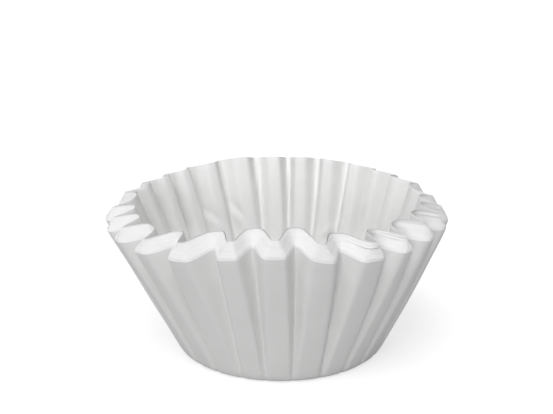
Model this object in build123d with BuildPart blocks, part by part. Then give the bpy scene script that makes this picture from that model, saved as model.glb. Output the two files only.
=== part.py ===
"""Stack of white paper basket coffee filters, nested in one another.

Every filter is a flat disc of paper pressed to a cup: a flat round base and a leaning wall that
takes up its spare width in flutes. A flute is a wide outward fold and a narrow inward one, and it
opens evenly from the foot of the wall to the rim. The sheets lie parallel, so the inward folds are
narrow grooves on the stack's outside and round arches on its inside. The sheets' edges make a band
round the rim that leans inwards, and the rim stands higher at the inward folds, where the wall is
steeper.

Frame: +Z up, origin at the centre of the base's underside, millimetres.
"""

import os
from collections import namedtuple
from math import cos, pi, radians, sin, tan

from build123d import *

# One sheet of paper, as it is cut and pressed
base_diameter = 82.5
disc_diameter = 203.0
wall_lean = 25.7

# The flutes, with their depth at the sheets' edges and at the foot of the wall. The fold angle lies between
# the flanks of an inward fold, and a sheet's edge climbs along a flank by the climb angle.
flute_count = 26
flute_depth = 7.6
foot_flute_depth = 1.2
fold_angle = 56.0
climb_angle = 20.0

# The stack of sheets
stack_thickness = 5.4
floor_thickness = 4.5
rim_band_height = 5.6
rim_land = 0.7

# Bends and folds
base_bend_radius = 5.4
floor_bend_radius = 1.4
groove_edge_radius = 2.6
groove_tip_radius = 1.1
arch_edge_radius = 1.0
arch_tip_radius = 3.5

# How many straight steps stand for a bend
base_bend_steps = 3
floor_bend_steps = 1
edge_steps = 2
tip_steps = 5

# Worked out from the sizes above
half_pitch = 180 / flute_count
half_fold = fold_angle / 2
foot_opening = foot_flute_depth / flute_depth
wall_length = (disc_diameter - base_diameter) / 2
lean_run = tan(radians(wall_lean))
base_radius = base_diameter / 2
rim_radius = base_radius + wall_length * sin(radians(wall_lean))
rim_height = wall_length * cos(radians(wall_lean))
top_height = rim_height + rim_band_height

# The inward folds, as they are on the outside and on the inside
Fold = namedtuple("Fold", "depth edge tip")
groove = Fold(flute_depth, groove_edge_radius, groove_tip_radius)
arch = Fold(flute_depth, arch_edge_radius, arch_tip_radius)


def inward_radius(height):
    """Radius of the inner face along an outward fold."""
    return base_radius + height * lean_run - stack_thickness


def bend_points(centre, radius, start, size, steps):
    """Points round a bend of the paper, which is drawn in straight steps."""
    return [centre + Vector(radius, 0).rotate(Axis.Z, start + size * step / steps) for step in range(steps + 1)]


def flute_outline(crest_radius, fold, opening, height, climb):
    """Closed outline round the cup: for every flute an inward fold, with a tip and two edges that flanks
    join, and the land up to the next fold. Opening is 1 for flutes of full size. Every line keeps its
    direction from one outline to the next, so the faces between them are flat."""
    depth, edge_bend, tip_bend = (size * opening for size in fold)
    flank = Vector(cos(radians(half_fold)), sin(radians(half_fold)))
    crest = Vector(cos(radians(half_pitch)), sin(radians(half_pitch)))
    tip_radius = crest_radius - depth + tip_bend
    foot = Vector(tip_radius, 0) + Vector(-flank.Y, flank.X) * (tip_bend + edge_bend)
    flank_length = (crest_radius - edge_bend - foot.dot(crest)) / flank.dot(crest)
    edge = foot + flank * flank_length
    tip_height = height + flank_length * tan(radians(climb))
    edge_turn = 90 - half_fold
    tip_centre = Vector(tip_radius, 0, tip_height)
    tip = bend_points(tip_centre, tip_bend, -90 - half_fold, -2 * edge_turn, tip_steps)
    edges = []
    for side in (-1, 1):
        centre = Vector(edge.X, side * edge.Y, height)
        turn = side * (edge_turn + half_pitch)
        edges.append(bend_points(centre, edge_bend, -side * edge_turn, turn, edge_steps))
    next_fold = edges[0][-1].rotate(Axis.Z, 2 * half_pitch)
    with BuildLine() as flute:
        Polyline(*edges[0][::-1], *tip, *edges[1], next_fold)
    with BuildLine() as outline:
        with PolarLocations(0, flute_count, start_angle=half_pitch - 90):
            add(flute.line)
    return outline.wire()


def foot_outlines(corner_radius, floor, bend_radius, steps, fold):
    """Outlines up the bend from a floor to the foot of its wall."""
    bend_turn = radians(90 - wall_lean)
    bend_start = corner_radius - bend_radius * tan(bend_turn / 2)
    outlines = []
    for step in range(steps + 1):
        turn = bend_turn * step / steps
        rise = bend_radius * (1 - cos(turn))
        opening = foot_opening + (1 - foot_opening) * rise / rim_height
        climb = climb_angle if step else 0
        outlines.append(flute_outline(bend_start + bend_radius * sin(turn), fold, opening, floor + rise, climb))
    return outlines


# The outside up to the outermost sheet's edge, the innermost one's edge above it, and the inside
outside = foot_outlines(base_radius, 0, base_bend_radius, base_bend_steps, groove)
outside.append(flute_outline(rim_radius, groove, 1, rim_height, climb_angle))
top_radius = inward_radius(top_height)
rim = [
    flute_outline(radius, arch, 1, top_height, climb_angle)
    for radius in (top_radius + rim_land, top_radius)
]
floor_radius = inward_radius(floor_thickness)
inside = foot_outlines(floor_radius, floor_thickness, floor_bend_radius, floor_bend_steps, arch)

# One ruled loft runs up the outside, over the rim and down the inside, closed by the base and the floor.
# Its flat strips are made true planes.
loft = Solid.make_loft(outside + rim + inside[::-1], ruled=True)
strips = [Face(strip.outer_wire()) if strip.is_planar else strip for strip in loft.faces()]
with BuildPart() as filter_stack:
    add(Solid(Shell(strips)))

filter_stack.part.label = "filter_stack"
os.makedirs("parts", exist_ok=True)
export_step(filter_stack.part, "parts/filter_stack.step")

print("sheet edge", round(outside[-1].length, 1), "disc edge", round(pi * disc_diameter, 1))
print("faces", len(filter_stack.faces()), "volume", round(filter_stack.part.volume), filter_stack.part.is_valid)
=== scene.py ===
"""The looks of a stack of white paper basket coffee filters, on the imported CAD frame.

Every sheet of the stack is a flat disc of paper pressed to a cup with flutes. One rule gives the place
of any point of any sheet, and a Geometry Nodes tree uses it for one closed skin: along the outermost
sheet, over the edges of all the sheets and down the innermost one.
"""

from __future__ import annotations

import logging
from dataclasses import dataclass
from enum import Enum
from math import atan2, cos, pi, radians, sin, tan
from typing import ClassVar, Union

import bpy
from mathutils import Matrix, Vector

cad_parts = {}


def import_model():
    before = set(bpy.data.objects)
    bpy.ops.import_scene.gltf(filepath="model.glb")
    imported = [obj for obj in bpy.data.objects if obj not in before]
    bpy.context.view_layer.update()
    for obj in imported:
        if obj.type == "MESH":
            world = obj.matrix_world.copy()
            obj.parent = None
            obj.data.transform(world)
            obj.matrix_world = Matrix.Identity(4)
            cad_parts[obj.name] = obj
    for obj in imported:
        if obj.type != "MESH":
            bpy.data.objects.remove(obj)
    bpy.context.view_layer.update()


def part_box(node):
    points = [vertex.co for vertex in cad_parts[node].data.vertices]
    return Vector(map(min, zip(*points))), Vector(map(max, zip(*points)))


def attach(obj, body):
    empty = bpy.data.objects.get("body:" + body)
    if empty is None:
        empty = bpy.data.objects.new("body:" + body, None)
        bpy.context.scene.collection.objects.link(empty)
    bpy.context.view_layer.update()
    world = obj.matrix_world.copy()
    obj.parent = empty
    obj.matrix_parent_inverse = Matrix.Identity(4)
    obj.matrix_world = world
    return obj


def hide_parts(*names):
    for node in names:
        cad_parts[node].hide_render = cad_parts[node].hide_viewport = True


MM = 0.001
STACK_NODE = "filter_stack"
PAPER_SLOT = "filter_paper"
EDGE_MARK = "edge"
# The attribute with the painted shade down in the gaps between the sheets' edges
GAP_SHADE_MARK = "gap"

log = logging.getLogger("filter_stack")

Number = Union["Field", float, int]
Colour = tuple[float, float, float, float]
Triple = tuple[float, float, float]


class Face(Enum):
    """The two faces of the stack that a crease can lie on, as the sheet's place in the stack."""

    OUTSIDE = 0.0
    INSIDE = 1.0


class Field:
    """An output socket of a node, which arithmetic turns into Math nodes."""

    def __init__(self, graph: Graph, socket: bpy.types.NodeSocket) -> None:
        """Keeps the socket and the graph that further nodes go to."""
        self.graph = graph
        self.socket = socket

    def __add__(self, other: Number) -> Field:
        """Sum of two values."""
        return self.graph.math("ADD", self, other)

    def __sub__(self, other: Number) -> Field:
        """Difference of two values."""
        return self.graph.math("SUBTRACT", self, other)

    def __rsub__(self, other: Number) -> Field:
        """Difference with this value second."""
        return self.graph.math("SUBTRACT", other, self)

    def __mul__(self, other: Number) -> Field:
        """Product of two values."""
        return self.graph.math("MULTIPLY", self, other)

    def __truediv__(self, other: Number) -> Field:
        """Quotient of two values."""
        return self.graph.math("DIVIDE", self, other)

    def __rtruediv__(self, other: Number) -> Field:
        """Quotient with this value second."""
        return self.graph.math("DIVIDE", other, self)

    def __pow__(self, other: Number) -> Field:
        """Power of this value."""
        return self.graph.math("POWER", self, other)

    def __neg__(self) -> Field:
        """This value with its sign turned."""
        return self.graph.math("MULTIPLY", self, -1.0)

    __radd__ = __add__
    __rmul__ = __mul__


class Graph:
    """Adds nodes to one geometry or shader tree.

    Attributes:
        colour_inputs: The inputs of a Mix node that colours use: its share, its start and its end.
        colour_output: The output of such a node.
    """

    colour_inputs: ClassVar[tuple[int, int, int]] = (0, 6, 7)
    colour_output: ClassVar[int] = 2

    def __init__(self, tree: bpy.types.NodeTree) -> None:
        """Keeps the tree that the nodes go to."""
        self.tree = tree

    def field(
        self,
        kind: str,
        settings: dict[str, object] | None = None,
        sockets: dict[str | int, object] | None = None,
        output: str | int = 0,
    ) -> Field:
        """Adds a node of any kind.

        Args:
            kind: The node's type.
            settings: Properties that are set before the sockets, such as a Math node's operation.
            sockets: Values or fields for the node's inputs.
            output: The output that the field stands for.

        Returns:
            The chosen output.
        """
        node = self.tree.nodes.new(kind)
        for name, value in (settings or {}).items():
            setattr(node, name, value)
        for key, value in (sockets or {}).items():
            if isinstance(value, Field):
                self.tree.links.new(value.socket, node.inputs[key])
            else:
                node.inputs[key].default_value = value
        return Field(self, node.outputs[output] if node.outputs else None)

    def math(self, operation: str, *values: Number) -> Field:
        """Adds a Math node for one operation on one to three values."""
        return self.field("ShaderNodeMath", {"operation": operation}, dict(enumerate(values)))

    def mix(self, start: Number, end: Number, share: Number) -> Number:
        """Value between a start and an end."""
        return (end - start) * share + start

    def mix_colour(self, start: Field | Colour, end: Colour, share: Field) -> Field:
        """Colour between a start and an end."""
        sockets = dict(zip(self.colour_inputs, (share, start, end)))
        return self.field("ShaderNodeMix", {"data_type": "RGBA"}, sockets, self.colour_output)

    def curve(self, value: Field, points: list[tuple[float, float]]) -> Field:
        """Smooth curve through points.

        Args:
            value: The value to look up, from 0 to 1.
            points: The curve's points, with the first at 0 and the last at 1.

        Returns:
            The curve's height at the value.
        """
        low = min(height for _, height in points)
        span = max(height for _, height in points) - low
        found = self.field("ShaderNodeFloatCurve", sockets={"Value": value})
        mapping = found.socket.node.mapping
        line = mapping.curves[0].points
        for place, height in points[1:-1]:
            line.new(place, (height - low) / span)
        line[0].location = (0.0, (points[0][1] - low) / span)
        line[len(points) - 1].location = (1.0, (points[-1][1] - low) / span)
        mapping.update()
        return found * span + low

    def vector(self, x: Number, y: Number, z: Number) -> Field:
        """Vector of three values."""
        return self.field("ShaderNodeCombineXYZ", sockets={"X": x, "Y": y, "Z": z})

    def step(self, value: Field, low: Number, high: Number) -> Field:
        """Smooth rise from 0 at the low value to 1 at the high one."""
        sockets = {"Value": value, "From Min": low, "From Max": high}
        return self.field("ShaderNodeMapRange", {"interpolation_type": "SMOOTHSTEP"}, sockets)

    def bell(self, value: Field, middle: float, width: float) -> Field:
        """Bell curve of height 1 round a middle value."""
        offset = (value - middle) / width
        return self.math("EXPONENT", -(offset * offset))

    def hump(self, share: Field) -> Field:
        """Round hump that is 1 at half the share, and 0 at none and at all of it."""
        return share * (1.0 - share) * 4.0

    def noise(self, position: Field, scale: float, detail: float = 0.0) -> Field:
        """Noise from about -1 to 1."""
        sockets = {"Vector": position, "Scale": scale, "Detail": detail}
        return self.field("ShaderNodeTexNoise", sockets=sockets) * 2.0 - 1.0


@dataclass(frozen=True)
class Paper:
    """The finish of the filter paper: white and matt, with fine fibres, a faint mottle and painted shade
    down in the gaps between the sheets' edges.

    Attributes:
        sheet_colour: The colour of a sheet's faces.
        mottle_colour: The colour that the mottle leans to.
        edge_colour: The colour of the sheets' edges.
        gap_shade_colour: Painted shade: the grey down in a gap between the edges.
        roughness: How matt the paper is.
        roughness_change: How much the fibres change that.
        specular: How much light the paper reflects.
        mottle_size: The size of the mottle's spots, in metres.
        mottle_detail: How finely the mottle is broken up.
        mottle_share: How much of the mottle's colour shows.
        crepe_size: The size of the crepe's bumps, in metres.
        crepe_detail: How finely the crepe is broken up.
        crepe_share: The crepe's share of the relief, which it makes together with the fibres.
        fibre_size: The size of the fibres, in metres.
        fibre_detail: How finely the fibres are broken up.
        relief_height: The height of the relief, in metres.
        relief_strength: How much of the relief shows.
    """

    sheet_colour: Colour = (0.86, 0.86, 0.855, 1.0)
    mottle_colour: Colour = (0.80, 0.80, 0.795, 1.0)
    edge_colour: Colour = (0.885, 0.885, 0.883, 1.0)
    # A grey that paints the shade down in the gaps, not a colour of the paper itself
    gap_shade_colour: Colour = (0.5, 0.5, 0.5, 1.0)
    roughness: float = 0.92
    roughness_change: float = 0.05
    specular: float = 0.25
    mottle_size: float = 9.0 * MM
    mottle_detail: float = 3.0
    mottle_share: float = 0.8
    crepe_size: float = 1.1 * MM
    crepe_detail: float = 1.0
    crepe_share: float = 0.6
    fibre_size: float = 0.35 * MM
    fibre_detail: float = 2.0
    relief_height: float = 0.035 * MM
    relief_strength: float = 0.6

    def material(self) -> bpy.types.Material:
        """Makes the paper's material.

        Returns:
            The material, with its nodes in place.
        """
        material = bpy.data.materials.new(PAPER_SLOT)
        material.use_nodes = True
        material.node_tree.nodes.clear()
        graph = Graph(material.node_tree)
        place = graph.field("ShaderNodeTexCoord", output="Object")
        fibre = graph.noise(place, 1.0 / self.fibre_size, self.fibre_detail)
        crepe = graph.noise(place, 1.0 / self.crepe_size, self.crepe_detail)
        mottle = graph.noise(place, 1.0 / self.mottle_size, self.mottle_detail) * 0.5 + 0.5
        edge = graph.field("ShaderNodeAttribute", {"attribute_name": EDGE_MARK}, output="Fac")
        gap = graph.field("ShaderNodeAttribute", {"attribute_name": GAP_SHADE_MARK}, output="Fac")
        colour = graph.mix_colour(self.sheet_colour, self.mottle_colour, mottle * self.mottle_share)
        colour = graph.mix_colour(colour, self.edge_colour, edge)
        # Painted shade: grey down in the gap under the innermost sheets and in the splits
        colour = graph.mix_colour(colour, self.gap_shade_colour, gap)
        relief = {
            "Strength": self.relief_strength,
            "Distance": self.relief_height,
            "Height": graph.mix(fibre, crepe, self.crepe_share),
        }
        surface = {
            "Base Color": colour,
            "Roughness": self.roughness + fibre * self.roughness_change,
            "Normal": graph.field("ShaderNodeBump", sockets=relief),
            "Specular IOR Level": self.specular,
        }
        shader = graph.field("ShaderNodeBsdfPrincipled", sockets=surface)
        graph.field("ShaderNodeOutputMaterial", sockets={"Surface": shader})
        return material


@dataclass(frozen=True)
class FoldForm:
    """The form of a sheet's folds, measured on half a flute from an outward fold to an inward one.

    Attributes:
        land: The outward fold's flat share.
        tip: The inward fold's flat share.
        edge_softness: How round the paper turns next to the land, as a share of the flank.
        tip_softness: How round it turns next to the tip.
        fullness: How full the inward fold is: 1 for straight flanks, more for a round arch.
    """

    land: float
    tip: float
    edge_softness: float
    tip_softness: float
    fullness: float = 1.0


@dataclass(frozen=True)
class RimPlace:
    """How the rim strays from an even one at one place round the cup.

    Attributes:
        angle: The place, in degrees from the front towards the right.
        drift: How far the folds there are turned back to the left, in degrees.
        lift: How much higher the sheets' edges lie, in millimetres.
        flare: How much further out they lie, in millimetres.
        depth: How deep the folds are, as a share of even ones.
        pinch: How tightly the outward folds are closed, from 0 to 1.
        inner: How much higher the innermost sheets' edges lie than the lift puts them, in millimetres.
        groove: How much deeper the outermost sheets fold inwards, as a share of the depth.
        swing: How far the outward folds lean over to the right, in millimetres.
    """

    angle: float
    drift: float
    lift: float
    flare: float = 0.0
    depth: float = 1.0
    pinch: float = 0.0
    inner: float = 0.0
    groove: float = 0.0
    swing: float = 0.0


@dataclass(frozen=True)
class Split:
    """A place where the sheets have come apart at their edges, with painted shade down in the gap.

    Attributes:
        sheet: The place in the stack, from 0 for the outermost sheet to 1 for the innermost.
        angle: The middle of the gap, in degrees from the front towards the right.
        spread: Half the gap's length, in degrees.
        depth: How far the gap goes down, in millimetres.
    """

    sheet: float
    angle: float
    spread: float
    depth: float


@dataclass(frozen=True)
class Crease:
    """A small crease or dent pressed in one face of the stack.

    Attributes:
        face: The face that it lies on.
        angle: Its place round the cup, in degrees from the front towards the right.
        reach: Its middle along the wall from the base's corner, in millimetres.
        length: Half its length, in millimetres.
        width: Half its width, in millimetres.
        turn: Its slant from the wall's own direction, in degrees.
        push: How far it stands out of the cup, in millimetres, negative inwards.
    """

    face: Face
    angle: float
    reach: float
    length: float
    width: float
    turn: float
    push: float


RIM = (
    RimPlace(-180, 5.9, 0.6),
    RimPlace(-165, 5.0, 0.7),
    RimPlace(-151, 3.8, -0.3),
    RimPlace(-138, 4.4, -1.3),
    RimPlace(-125, 6.4, -2.2, pinch=0.3),
    RimPlace(-108, 7.2, -2.9, flare=-0.3, depth=1.1, pinch=0.8),
    RimPlace(-91, 1.4, -2.5, flare=-0.5, depth=1.15, pinch=1.0, inner=-0.8, groove=0.2),
    RimPlace(-75, -0.4, -1.8, flare=-0.3, depth=1.15, pinch=1.0, inner=-1.2, groove=0.3, swing=-0.8),
    RimPlace(-57, 1.8, -2.0, flare=0.2, depth=1.05, pinch=0.8, inner=-1.2, groove=0.3, swing=-1.4),
    RimPlace(-43, 0.9, -2.0, flare=0.6, pinch=0.8, inner=-1.5, groove=0.3, swing=-1.6),
    RimPlace(-30, 1.3, -1.6, flare=0.6, pinch=0.35, groove=0.1, swing=-0.8),
    RimPlace(-15, -0.3, 0.6),
    RimPlace(-8, 1.0, 1.3),
    RimPlace(-2, 0.3, 1.8),
    RimPlace(6, 1.1, 1.7),
    RimPlace(12, 0.7, 0.2),
    RimPlace(16, 0.5, -0.3),
    RimPlace(27, -0.2, -1.4, flare=0.4, pinch=0.3, groove=0.1, swing=1.8),
    RimPlace(33, 0.6, -1.4, pinch=0.6, inner=-0.4, groove=0.45, swing=3.0),
    RimPlace(39, 1.4, -1.4, pinch=0.8, inner=-0.5, groove=0.4, swing=3.0),
    RimPlace(52, 2.4, -0.6, flare=-0.1, pinch=0.9, groove=0.4, swing=2.8),
    RimPlace(75, 1.1, -1.6, flare=-0.3, pinch=1.0, groove=0.3, swing=1.2),
    RimPlace(98, -0.8, -2.9, flare=-0.6, pinch=1.0, groove=0.2),
    RimPlace(110, -2.0, -1.9, pinch=0.7),
    RimPlace(125, -2.4, -1.5),
    RimPlace(138, 1.0, -0.8),
    RimPlace(151, 2.2, 0.2),
    RimPlace(165, 3.4, 0.7),
    RimPlace(180, 5.9, 0.6),
)

SPLITS = (
    Split(0.62, 31, 5, 1.6),
    Split(0.8, 45, 6, 1.5),
    Split(0.9, 58, 9, 2.0),
    Split(0.7, 72, 8, 2.0),
)

CREASES = (
    Crease(Face.OUTSIDE, -7.5, 30.7, 2.9, 0.7, 34, 0.5),
    Crease(Face.INSIDE, -145.5, 38.5, 5.0, 1.0, 33, 1.7),
    Crease(Face.INSIDE, -143.6, 36.6, 4.5, 1.4, 33, -1.3),
    Crease(Face.INSIDE, -159.5, 38.5, 5.5, 1.0, 30, 1.7),
    Crease(Face.INSIDE, -157.6, 36.6, 5.0, 1.3, 30, -1.3),
    Crease(Face.INSIDE, -130.0, 38.0, 2.8, 1.2, 22, 2.2),
    Crease(Face.INSIDE, 153.2, 30.3, 3.8, 1.1, -49, -1.2),
    Crease(Face.INSIDE, 148.0, 37.8, 3.0, 1.0, -19, 0.9),
    Crease(Face.INSIDE, 134.3, 42.0, 2.4, 1.0, -29, 0.9),
    Crease(Face.INSIDE, -170.2, 46.0, 9.0, 0.8, -5, -0.7),
    Crease(Face.INSIDE, 175.0, 45.0, 9.0, 0.7, -4, 0.9),
)


@dataclass
class FilterStack:
    """The stack of sheets, with its sizes in metres.

    Attributes:
        rim_radius: How far out the outermost sheet's edge lies on an outward fold.
        height: The stack's height, up to the innermost sheet's edge on an inward fold.
        base_radius: Where the outermost sheet turns from its base to its wall.
        flutes: How many flutes a sheet has.
        flute_depth: The folds' depth at the sheets' edges.
        foot_depth: The folds' depth at the foot of the wall.
        rim_rise: How much higher a sheet's edge lies on an inward fold than on an outward one.
        thickness: The wall's thickness, measured level.
        floor_thickness: The floor's thickness.
        band_height: How much higher the innermost sheet's edge lies than the outermost one's.
        base_bend: How softly the outermost sheet turns from its base to its wall.
        floor_bend: How softly the innermost one does.
        sheets: How many sheets there are.
        bevel: How far the outermost sheet's edge stays back behind the others.
        columns: How many columns of faces go round the cup.
        base_rows: How many rows of faces the base has, and the floor.
        outer_rows: How many the outside of the wall has.
        inner_rows: How many its inside has.
    """

    rim_radius: float
    height: float
    base_radius: float = 40.9 * MM
    flutes: int = 26
    flute_depth: float = 7.6 * MM
    foot_depth: float = 0.5 * MM
    rim_rise: float = 2.0 * MM
    thickness: float = 5.4 * MM
    floor_thickness: float = 4.5 * MM
    band_height: float = 5.6 * MM
    base_bend: float = 4.0 * MM
    floor_bend: float = 2.5 * MM
    sheets: int = 45
    bevel: float = 0.5 * MM
    columns: int = 572
    base_rows: int = 3
    outer_rows: int = 27
    inner_rows: int = 51

    @classmethod
    def on_frame(cls) -> FilterStack:
        """Stack with the outer sizes of the CAD node."""
        low, high = (Vector(corner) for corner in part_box(STACK_NODE))
        return cls(rim_radius=(high.y - low.y) / 2, height=high.z)

    @property
    def wall_lean(self) -> float:
        """Lean of the wall along an outward fold, from upright, in radians."""
        rim_height = self.height - self.rim_rise - self.band_height
        return atan2(self.rim_radius - self.base_radius, rim_height)

    def build(self, paper: Paper) -> bpy.types.Object:
        """Makes the stack's mesh.

        Args:
            paper: The finish of its sheets.

        Returns:
            The finished object, which is not yet on its body.
        """
        tree = bpy.data.node_groups.new("pressed_sheets", "GeometryNodeTree")
        sizes = {
            "Height": self.height,
            "Base Radius": self.base_radius,
            "Flutes": self.flutes,
            "Flute Depth": self.flute_depth,
            "Foot Depth": self.foot_depth,
            "Rim Rise": self.rim_rise,
            "Thickness": self.thickness,
            "Floor Thickness": self.floor_thickness,
            "Band Height": self.band_height,
            "Sheets": self.sheets,
            "Bevel": self.bevel,
            "Columns": self.columns,
            "Outer Rows": self.outer_rows,
            "Inner Rows": self.inner_rows,
        }
        sockets = {}
        for name, value in sizes.items():
            kind = "NodeSocketInt" if isinstance(value, int) else "NodeSocketFloat"
            sockets[name] = tree.interface.new_socket(name, in_out="INPUT", socket_type=kind)
        tree.interface.new_socket("Geometry", in_out="OUTPUT", socket_type="NodeSocketGeometry")
        SheetRule(Graph(tree), self, paper.material()).make_tree()

        maker = bpy.data.objects.new("pressed_sheets", bpy.data.meshes.new("pressed_sheets"))
        bpy.context.scene.collection.objects.link(maker)
        modifier = maker.modifiers.new("pressed_sheets", "NODES")
        modifier.node_group = tree
        for name, value in sizes.items():
            modifier[sockets[name].identifier] = value
        depsgraph = bpy.context.evaluated_depsgraph_get()
        mesh = bpy.data.meshes.new_from_object(
            maker.evaluated_get(depsgraph),
            preserve_all_data_layers=True,
            depsgraph=depsgraph,
        )
        maker.modifiers.remove(modifier)
        maker.data = mesh
        mesh.name = "paper_sheets"
        maker.name = "paper_sheets"
        return maker


class SheetRule:
    """The Geometry Nodes tree that lays the stack's skin. Lengths are in metres.

    Attributes:
        depth_change: How much the folds' depth varies, as a share.
        depth_waves: How fast it varies round the cup.
        depth_level: The line of noise that it follows.
        foot_folds: The folds of the outermost and the innermost sheet at the foot of the wall.
        open_folds: The same at the rim, where the folds stand open.
        pinched_folds: The same at the rim, where they are closed tightly.
        belly: How far the wall swells half-way up.
        buckle: How far it buckles at the rim.
        buckle_waves: How fast the buckles change round the cup.
        buckle_climb: How fast they change along the wall.
        crease_fade: The length below the sheets' edges in which creases fade out.
        rim_shift: How far the rim lies to the right of the base, and behind it.
        sheet_wander: How far a sheet's edge strays along the wall.
        wander_waves: How fast it strays round the cup.
        wander_step: How different the lines of noise are that two sheets follow.
        sheet_notch: The depth of the notch between two sheets' edges.
        bevel_sheets: How many of the outermost sheets the bevel takes in.
        lip_gap: The depth of the gap under the innermost sheets.
        lip_low: The gap's share on an outward fold, in its depth and in its painted shade.
        lip_rows: The gap's first and last row, counted from the innermost sheet.
        split_rows: How many rows to either side a split opens.
        row_slack: How far a row's number may be off.
        row_crowding: How much closer the wall's rows lie at its foot: 1 for even rows.
        weld: How close points lie that are made one.
        sharp_turn: The turn between two faces from which their edge is sharp, in radians.
    """

    depth_change: ClassVar[float] = 0.1
    depth_waves: ClassVar[float] = 3.2
    depth_level: ClassVar[float] = 7.0
    foot_folds: ClassVar[tuple[FoldForm, FoldForm]] = (
        FoldForm(0.75, 0.04, 0.35, 0.35),
        FoldForm(0.06, 0.6, 0.3, 1.2),
    )
    open_folds: ClassVar[tuple[FoldForm, FoldForm]] = (
        FoldForm(0.52, 0.1, 0.65, 0.4),
        FoldForm(0.17, 0.22, 0.15, 0.6, 1.8),
    )
    pinched_folds: ClassVar[tuple[FoldForm, FoldForm]] = (
        FoldForm(0.54, 0.04, 1.25, 0.3),
        FoldForm(0.02, 0.12, 0.15, 0.6, 2.4),
    )
    belly: ClassVar[float] = 0.25 * MM
    buckle: ClassVar[float] = 0.7 * MM
    buckle_waves: ClassVar[float] = 5.0
    buckle_climb: ClassVar[float] = 40.0
    crease_fade: ClassVar[float] = 8.0 * MM
    rim_shift: ClassVar[tuple[float, float]] = (-1.6 * MM, 1.5 * MM)
    sheet_wander: ClassVar[float] = 0.16 * MM
    wander_waves: ClassVar[float] = 6.0
    wander_step: ClassVar[float] = 5.3
    sheet_notch: ClassVar[float] = 0.09 * MM
    bevel_sheets: ClassVar[float] = 3.0
    lip_gap: ClassVar[float] = 1.4 * MM
    lip_low: ClassVar[float] = 0.2
    lip_rows: ClassVar[tuple[float, float]] = (2.0, 6.0)
    split_rows: ClassVar[float] = 1.6
    row_slack: ClassVar[float] = 0.1
    row_crowding: ClassVar[float] = 1.3
    weld: ClassVar[float] = 0.002 * MM
    sharp_turn: ClassVar[float] = radians(40.0)

    def __init__(self, graph: Graph, stack: FilterStack, paper: bpy.types.Material) -> None:
        """Adds the fields that every zone of the skin shares.

        Args:
            graph: The tree's graph.
            stack: The stack whose fixed sizes are used.
            paper: The material of the skin.
        """
        self.graph = graph
        self.stack = stack
        self.paper = paper
        self.sizes = graph.tree.nodes.new("NodeGroupInput")

        # Every zone starts as a flat grid from -0.5 to 0.5, with the front of the cup at 0
        place = graph.field("GeometryNodeInputPosition")
        across = graph.field("ShaderNodeSeparateXYZ", sockets={"Vector": place}, output="X")
        along = graph.field("ShaderNodeSeparateXYZ", sockets={"Vector": place}, output="Y")
        self.row_share = along + 0.5
        self.fold = graph.math("PINGPONG", across * self.size("Flutes"), 0.5) * 2.0

        # The drift is known at the place that it leads to, so that place is found in two steps
        even_turn = across * 360.0
        near_turn = even_turn - self.rim_curve("drift", even_turn)
        turn = even_turn - self.rim_curve("drift", near_turn)
        self.angle = turn * radians(1.0)
        self.sine = graph.math("SINE", self.angle)
        self.cosine = graph.math("COSINE", self.angle)
        self.lift = self.rim_curve("lift", turn) * MM
        self.flare = self.rim_curve("flare", turn) * MM
        self.pinch = self.rim_curve("pinch", turn)
        self.inner_lift = self.rim_curve("inner", turn) * MM
        self.groove = self.rim_curve("groove", turn)
        self.swing = self.rim_curve("swing", turn) * MM
        depth_noise = self.round_noise(self.depth_waves, self.depth_level)
        self.deepening = self.rim_curve("depth", turn) + depth_noise * self.depth_change

    def size(self, name: str) -> Field:
        """One of the tree's named inputs."""
        return Field(self.graph, self.sizes.outputs[name])

    def rim_curve(self, name: str, turn: Field) -> Field:
        """One of the rim's strays, at a place round the cup in degrees."""
        points = [((place.angle + 180.0) / 360.0, getattr(place, name)) for place in RIM]
        return self.graph.curve(self.graph.math("FRACT", turn / 360.0 + 0.5), points)

    def round_noise(self, scale: float, level: Number) -> Field:
        """Noise that closes on itself round the cup, one line of it for each level."""
        return self.graph.noise(self.graph.vector(self.sine, self.cosine, level), scale)

    def blend(self, pair: tuple[float, float], sheet: Number) -> Number:
        """Value of a sheet between those of the outermost and the innermost one."""
        return self.graph.mix(pair[0], pair[1], sheet)

    def corner(self, sheet: Number) -> Field:
        """Radius of a sheet's corner, between its base and its wall."""
        inset = self.size("Thickness") - self.size("Floor Thickness") * tan(self.stack.wall_lean)
        return self.size("Base Radius") - inset * sheet

    def wall_length(self, sheet: Number) -> Field:
        """Way along the wall of a sheet.

        Args:
            sheet: The sheet's place in the stack.

        Returns:
            The length from the sheet's corner to its edge.
        """
        top = self.size("Height") - self.size("Rim Rise")
        rise = top - self.graph.mix(self.size("Band Height"), self.size("Floor Thickness"), sheet)
        return rise / cos(self.stack.wall_lean)

    def form(self, name: str, sheet: Number, share: Number) -> Field:
        """One value of the folds' form.

        Args:
            name: The value's name in the fold's form.
            sheet: The sheet's place in the stack.
            share: The way up the wall, from 0 to 1.

        Returns:
            The value there.
        """
        foot, opened, pinched = (
            self.blend((getattr(outer, name), getattr(inner, name)), sheet)
            for outer, inner in (self.foot_folds, self.open_folds, self.pinched_folds)
        )
        return self.graph.mix(foot, self.graph.mix(opened, pinched, self.pinch), share)

    def inward(self, sheet: Number, share: Number) -> Field:
        """Form of the folds: 0 on an outward fold, 1 on an inward one.

        Args:
            sheet: The sheet's place in the stack.
            share: The way up the wall, from 0 to 1.

        Returns:
            The share of the folds' depth.
        """
        graph = self.graph
        land = self.form("land", sheet, share)
        flank = (self.fold - land) / (1.0 - self.form("tip", sheet, share) - land)
        flank = graph.math("SMOOTH_MAX", flank, 0.0, self.form("edge_softness", sheet, share))
        flank = graph.math("SMOOTH_MIN", flank, 1.0, self.form("tip_softness", sheet, share))
        return 1.0 - (1.0 - flank) ** self.form("fullness", sheet, share)

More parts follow.
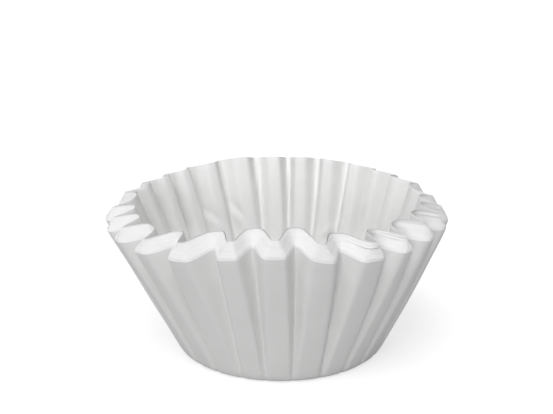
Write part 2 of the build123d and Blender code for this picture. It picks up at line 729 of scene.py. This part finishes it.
    def crease_push(self, sheet: Number, reach: Field) -> Number:
        """Adds up the creases of one face.

        Args:
            sheet: The sheet's place in the stack. Only those of the two faces have creases.
            reach: The way along the paper from the base's corner.

        Returns:
            How far the creases push the wall out.
        """
        push: Number = 0.0
        for crease in CREASES:
            if crease.face.value != sheet:
                continue
            radius = self.stack.base_radius + crease.reach * MM * sin(self.stack.wall_lean)
            side = self.graph.math("WRAP", self.angle - radians(crease.angle), pi, -pi) * radius
            rise = reach - crease.reach * MM
            turn = radians(crease.turn)
            along = (rise * cos(turn) + side * sin(turn)) / (crease.length * MM)
            across = (side * cos(turn) - rise * sin(turn)) / (crease.width * MM)
            ridge = self.graph.math("EXPONENT", -(along * along + across * across))
            push = push + ridge * (crease.push * MM)
        return push * self.graph.step(self.wall_length(sheet) - reach, 0.0, self.crease_fade)

    def point(self, sheet: Number, reach: Field) -> Field:
        """Place of a point of a sheet.

        Args:
            sheet: The sheet's place in the stack, from 0 for the outermost to 1 for the innermost.
            reach: The point's way along the paper from the base's corner, negative on the base.

        Returns:
            The place, as a vector.
        """
        graph = self.graph
        lean = self.stack.wall_lean
        bend = self.blend((self.stack.base_bend, self.stack.floor_bend), sheet)
        climb = graph.math("SMOOTH_MAX", reach, 0.0, bend)
        share = climb / self.wall_length(sheet)
        rim_share = share * share
        inward = self.inward(sheet, share)

        foot = self.size("Foot Depth") * graph.step(reach, -bend, bend)
        depth = (foot + (self.size("Flute Depth") - self.size("Foot Depth")) * share) * self.deepening
        depth = depth * (self.groove * share * (1.0 - sheet) + 1.0)
        waves_x = self.sine * self.buckle_waves
        waves_y = self.cosine * self.buckle_waves
        waves = graph.vector(waves_x, waves_y, reach * self.buckle_climb)
        bulge = graph.noise(waves, 1.0, 1.0) * self.buckle * share
        radius = self.corner(sheet) + reach - climb + climb * sin(lean) - depth * inward
        radius = radius + bulge + graph.hump(share) * self.belly
        radius = radius + self.flare * rim_share + self.crease_push(sheet, reach)

        lift = self.lift + self.inner_lift * sheet
        height = self.size("Floor Thickness") * sheet + climb * cos(lean)
        height = height + self.size("Rim Rise") * share * inward + lift * rim_share
        sideways = self.swing * share * (1.0 - inward)
        right, back = self.rim_shift
        place_x = radius * self.sine + sideways * self.cosine + rim_share * right
        place_y = sideways * self.sine - radius * self.cosine + rim_share * back
        return graph.vector(place_x, place_y, height)

    def zone(self, rows: Number, place: Field, marks: dict[str, Number] | None = None) -> Field:
        """Makes one zone of the skin.

        Args:
            rows: How many rows of faces it has.
            place: Where its points go.
            marks: Attributes that its points get.

        Returns:
            The zone's mesh.
        """
        grid = {
            "Size X": 1.0,
            "Size Y": 1.0,
            "Vertices X": self.size("Columns") + 1,
            "Vertices Y": rows + 1,
        }
        flat = self.graph.field("GeometryNodeMeshGrid", sockets=grid, output="Mesh")
        for name, value in (marks or {}).items():
            marked = {"Geometry": flat, "Name": name, "Value": value}
            flat = self.graph.field("GeometryNodeStoreNamedAttribute", {"data_type": "FLOAT"}, marked)
        return self.graph.field("GeometryNodeSetPosition", sockets={"Geometry": flat, "Position": place})

    def edge_band(self) -> Field:
        """Makes the band of sheet edges: a notch, then an edge, for one sheet after the other.

        Returns:
            The band's mesh.
        """
        graph = self.graph
        sheets = self.size("Sheets")
        rows = sheets * 2
        row = graph.math("ROUND", self.row_share * rows)
        rows_left = rows - row
        count = graph.math("FLOOR", (row + 1) / 2)
        sheet = count / sheets
        wander = self.round_noise(self.wander_waves, count * self.wander_step) * self.sheet_wander
        wander = wander * graph.hump(sheet)
        rise = (1.0 - graph.bell(count, 0.0, self.bevel_sheets)) * self.size("Bevel")

        first, last = self.lip_rows
        lip_middle = (first + last) / 2
        lip_half = (last - first) / 2 + self.row_slack
        in_lip = graph.math("COMPARE", rows_left, lip_middle, lip_half)
        # Painted shade: this mask sets how far the gap's rows drop and also greys the paper down in the
        # gap
        shade = in_lip * graph.mix(self.lip_low, 1.0, self.inward(1.0, 1.0))
        drop = graph.math("MODULO", row, 2.0) * self.sheet_notch + shade * self.lip_gap
        for split in SPLITS:
            edge_row = round(split.sheet * self.stack.sheets) * 2.0
            opened = graph.math("COMPARE", row, edge_row, self.split_rows)
            opened = opened * graph.bell(self.angle, radians(split.angle), radians(split.spread))
            # The splits get the same painted shade down in their gaps
            shade = graph.math("MAXIMUM", shade, opened)
            drop = drop + opened * (split.depth * MM)

        # The last row stays in place, because the inside of the wall starts there
        below = graph.math("MINIMUM", rows_left, 1.0)
        place = self.point(sheet, self.wall_length(sheet) + wander + (rise - drop) * below)
        return self.zone(rows, place, {EDGE_MARK: 1.0, GAP_SHADE_MARK: shade})

    def make_tree(self) -> None:
        """Lays the zones from the base's middle round to the floor's, and joins them to one skin."""
        graph = self.graph
        bends = self.stack.base_bend, self.stack.floor_bend
        zones = []
        for face in Face:
            sheet = face.value
            inside = face is Face.INSIDE
            away = 1.0 - self.row_share if inside else self.row_share
            start = -bends[int(inside)]
            disc_way = graph.mix(-self.corner(sheet), start, away)
            disc = self.zone(self.stack.base_rows, self.point(sheet, disc_way))
            wall_way = graph.mix(start, self.wall_length(sheet), away ** self.row_crowding)
            rows = self.size("Inner Rows" if inside else "Outer Rows")
            wall = self.zone(rows, self.point(sheet, wall_way))
            zones += [wall, disc] if inside else [disc, wall]
        zones.append(self.edge_band())
        joined = graph.tree.nodes.new("GeometryNodeJoinGeometry")
        for zone in zones:
            graph.tree.links.new(zone.socket, joined.inputs[0])
        whole = {"Geometry": Field(graph, joined.outputs[0]), "Distance": self.weld}
        skin = graph.field("GeometryNodeMergeByDistance", sockets=whole)
        skin = graph.field("GeometryNodeSetShadeSmooth", {"domain": "FACE"}, {"Geometry": skin})
        turn = graph.field("GeometryNodeInputMeshEdgeAngle", output="Unsigned Angle")
        sharp = graph.math("GREATER_THAN", turn, self.sharp_turn)
        creased = {"Geometry": skin, "Selection": sharp, "Shade Smooth": False}
        skin = graph.field("GeometryNodeSetShadeSmooth", {"domain": "EDGE"}, creased)
        skin = graph.field("GeometryNodeRealizeInstances", sockets={"Geometry": skin})
        skin = graph.field("GeometryNodeSetMaterial", sockets={"Geometry": skin, "Material": self.paper})
        output = graph.tree.nodes.new("NodeGroupOutput")
        graph.tree.links.new(skin.socket, output.inputs[0])


@dataclass(frozen=True)
class Studio:
    """The camera at the photograph's viewing angle, soft light and a white floor.

    Attributes:
        eye: The camera's place, in metres.
        look_down: How far it looks down from level.
        lens: Its focal length, in millimetres.
        clip_end: How far it sees, in metres.
        key_strength: The main light's strength.
        key_angle: How wide that light looks from the stack.
        key_tilt: Its turn from straight down.
        fill_strength: The strength of the level light from the front.
        fill_angle: How wide that light looks.
        fill_tilt: Its turn.
        back_strength: The strength of the level light from behind.
        back_angle: How wide that light looks.
        back_tilt: Its turn.
        sky_strength: The strength of the even light from all round.
        floor_side: The floor's side, in metres.
        floor_white: How white the floor is.
        floor_glow: How much it glows for the camera alone.
    """

    eye: Triple = (-0.0017, -0.335, 0.1488)
    look_down: float = radians(15.57)
    lens: float = 57.5
    clip_end: float = 50.0
    key_strength: float = 1.8
    key_angle: float = radians(42.0)
    key_tilt: Triple = (radians(26.0), radians(-10.0), 0.0)
    fill_strength: float = 0.88
    fill_angle: float = radians(20.0)
    fill_tilt: Triple = (radians(85.0), 0.0, radians(-13.0))
    back_strength: float = 0.55
    back_angle: float = radians(20.0)
    back_tilt: Triple = (radians(-82.0), 0.0, radians(15.0))
    sky_strength: float = 0.31
    floor_side: float = 12.0
    floor_white: float = 0.5
    floor_glow: float = 0.66

    def build(self) -> None:
        """Makes the camera, the lights and the floor."""
        self.make_camera()
        self.make_light("soft_key", self.key_strength, self.key_angle, self.key_tilt)
        self.make_light("left_fill", self.fill_strength, self.fill_angle, self.fill_tilt)
        self.make_light("back_fill", self.back_strength, self.back_angle, self.back_tilt)
        self.make_sky()
        self.make_floor()
        bpy.context.scene.view_settings.view_transform = "Standard"

    def make_camera(self) -> None:
        """Makes the scene's camera."""
        data = bpy.data.cameras.new("photo_camera")
        data.lens = self.lens
        data.clip_end = self.clip_end
        camera = bpy.data.objects.new("photo_camera", data)
        camera.location = self.eye
        camera.rotation_euler = (pi / 2 - self.look_down, 0.0, 0.0)
        bpy.context.scene.collection.objects.link(camera)
        bpy.context.scene.camera = camera

    def make_light(self, name: str, strength: float, angle: float, tilt: Triple) -> None:
        """Makes one wide soft light.

        Args:
            name: The light's name.
            strength: Its strength, in watts for each square metre.
            angle: How wide it looks from the stack.
            tilt: Its turn from straight down.
        """
        data = bpy.data.lights.new(name, "SUN")
        data.energy = strength
        data.angle = angle
        light = bpy.data.objects.new(name, data)
        light.rotation_euler = tilt
        bpy.context.scene.collection.objects.link(light)

    def make_sky(self) -> None:
        """Makes the even light from all round, which looks white itself."""
        world = bpy.data.worlds.new("white_room")
        world.use_nodes = True
        world.node_tree.nodes.clear()
        graph = Graph(world.node_tree)
        white = (1.0, 1.0, 1.0, 1.0)
        dim_room = {"Color": white, "Strength": self.sky_strength}
        light = graph.field("ShaderNodeBackground", sockets=dim_room)
        backdrop = graph.field("ShaderNodeBackground", sockets={"Color": white, "Strength": 1.0})
        shown = {0: self.seen_ray(graph), 1: light, 2: backdrop}
        mixed = graph.field("ShaderNodeMixShader", sockets=shown)
        graph.field("ShaderNodeOutputWorld", sockets={"Surface": mixed})
        bpy.context.scene.world = world

    def seen_ray(self, graph: Graph) -> Field:
        """Tells the rays that show the background from those that light the paper.

        Args:
            graph: The graph that the nodes go to.

        Returns:
            1 for a ray that shows the background, and 0 for any other.
        """
        ray = graph.field("ShaderNodeLightPath", output="Is Camera Ray")
        outputs = ray.socket.node.outputs
        for name in ("Is Glossy Ray", "Is Transmission Ray"):
            ray = graph.math("MAXIMUM", ray, Field(graph, outputs[name]))
        return ray

    def make_floor(self) -> None:
        """Makes the plain white floor, which keeps the stack's shadow."""
        half = self.floor_side / 2
        mesh = bpy.data.meshes.new("floor")
        corners = [(-half, -half, 0.0), (half, -half, 0.0), (half, half, 0.0), (-half, half, 0.0)]
        mesh.from_pydata(corners, [], [(0, 1, 2, 3)])
        floor = bpy.data.objects.new("floor", mesh)
        bpy.context.scene.collection.objects.link(floor)
        material = bpy.data.materials.new("white_floor")
        material.use_nodes = True
        material.node_tree.nodes.clear()
        graph = Graph(material.node_tree)
        matt = graph.field("ShaderNodeBsdfDiffuse", sockets={"Color": (self.floor_white,) * 3 + (1.0,)})
        glow_strength = self.seen_ray(graph) * self.floor_glow
        glow = graph.field("ShaderNodeEmission", sockets={"Strength": glow_strength})
        both = graph.field("ShaderNodeAddShader", sockets={0: matt, 1: glow})
        graph.field("ShaderNodeOutputMaterial", sockets={"Surface": both})
        mesh.materials.append(material)


def main() -> None:
    """Builds the stack and the studio on the frame."""
    logging.basicConfig(level=logging.INFO, format="%(name)s: %(message)s")
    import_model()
    stack = FilterStack.on_frame()
    sheets = stack.build(Paper())
    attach(sheets, "root")
    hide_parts(STACK_NODE)
    sheets.data.calc_loop_triangles()
    log.info("%s: %d triangles", sheets.name, len(sheets.data.loop_triangles))
    Studio().build()


if __name__ == "__main__":
    main()
